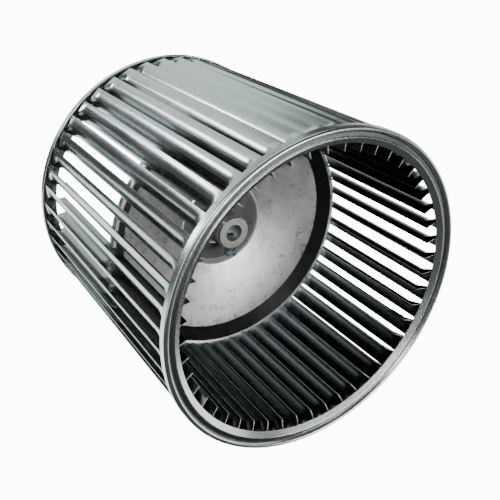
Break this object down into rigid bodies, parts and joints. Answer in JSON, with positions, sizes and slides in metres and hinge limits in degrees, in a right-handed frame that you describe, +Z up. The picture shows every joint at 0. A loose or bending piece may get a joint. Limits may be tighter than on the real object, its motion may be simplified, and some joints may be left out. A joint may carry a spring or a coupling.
{
  "type": "blower wheel",
  "caption": "Double-inlet squirrel-cage blower wheel with forward-curved blades between rolled end rings, a dished centre disc and a bored hub with a radial set screw.",
  "frame": {"origin": "the wheel's centre: on the spin axis, at mid-width between the two end rings", "axes": "the wheel spins about Y; the front opening, on the side that the hub's set screw is reached from, faces -Y; +Z is up and +X is to the right seen from the front"},
  "size_m": [0.254, 0.25, 0.254],
  "materials": {
    "galvanised_ring": "rolled galvanised steel, satin",
    "galvanised_blade": "bright galvanised sheet",
    "rolled_disc": "galvanised sheet with a faint mottle",
    "hub_plate_steel": "dull pressed steel",
    "turned_hub": "machined steel, fine turning marks",
    "zinc_screw": "blue-grey zinc plate",
    "spring_clip": "dark tempered spring steel"
  },
  "bodies": {
    "wheel": {"front_ring": "galvanised_ring", "rear_ring": "galvanised_ring", "centre_disc": "rolled_disc", "hub_plate": "hub_plate_steel", "hub": "turned_hub", "balance_clip": "spring_clip", "blade_01": "galvanised_blade", "blade_02": "galvanised_blade", "blade_03": "galvanised_blade", "blade_04": "galvanised_blade", "blade_05": "galvanised_blade", "blade_06": "galvanised_blade", "blade_07": "galvanised_blade", "blade_08": "galvanised_blade", "blade_09": "galvanised_blade", "blade_10": "galvanised_blade", "blade_11": "galvanised_blade", "blade_12": "galvanised_blade", "blade_13": "galvanised_blade", "blade_14": "galvanised_blade", "blade_15": "galvanised_blade", "blade_16": "galvanised_blade", "blade_17": "galvanised_blade", "blade_18": "galvanised_blade", "blade_19": "galvanised_blade", "blade_20": "galvanised_blade", "blade_21": "galvanised_blade", "blade_22": "galvanised_blade", "blade_23": "galvanised_blade", "blade_24": "galvanised_blade", "blade_25": "galvanised_blade", "blade_26": "galvanised_blade", "blade_27": "galvanised_blade", "blade_28": "galvanised_blade", "blade_29": "galvanised_blade", "blade_30": "galvanised_blade", "blade_31": "galvanised_blade", "blade_32": "galvanised_blade", "blade_33": "galvanised_blade", "blade_34": "galvanised_blade", "blade_35": "galvanised_blade", "blade_36": "galvanised_blade", "blade_37": "galvanised_blade", "blade_38": "galvanised_blade", "blade_39": "galvanised_blade", "blade_40": "galvanised_blade", "blade_41": "galvanised_blade", "blade_42": "galvanised_blade", "blade_43": "galvanised_blade", "blade_44": "galvanised_blade", "blade_45": "galvanised_blade", "blade_46": "galvanised_blade", "blade_47": "galvanised_blade", "blade_48": "galvanised_blade"},
    "screw": {"set_screw": "zinc_screw"}
  },
  "joints": [
    {"name": "set_screw_travel", "type": "slide", "parent": "wheel", "child": "screw", "axis": [0.0523, 0, -0.9986], "range_m": [-0.0014, 0.0065]}
  ]
}
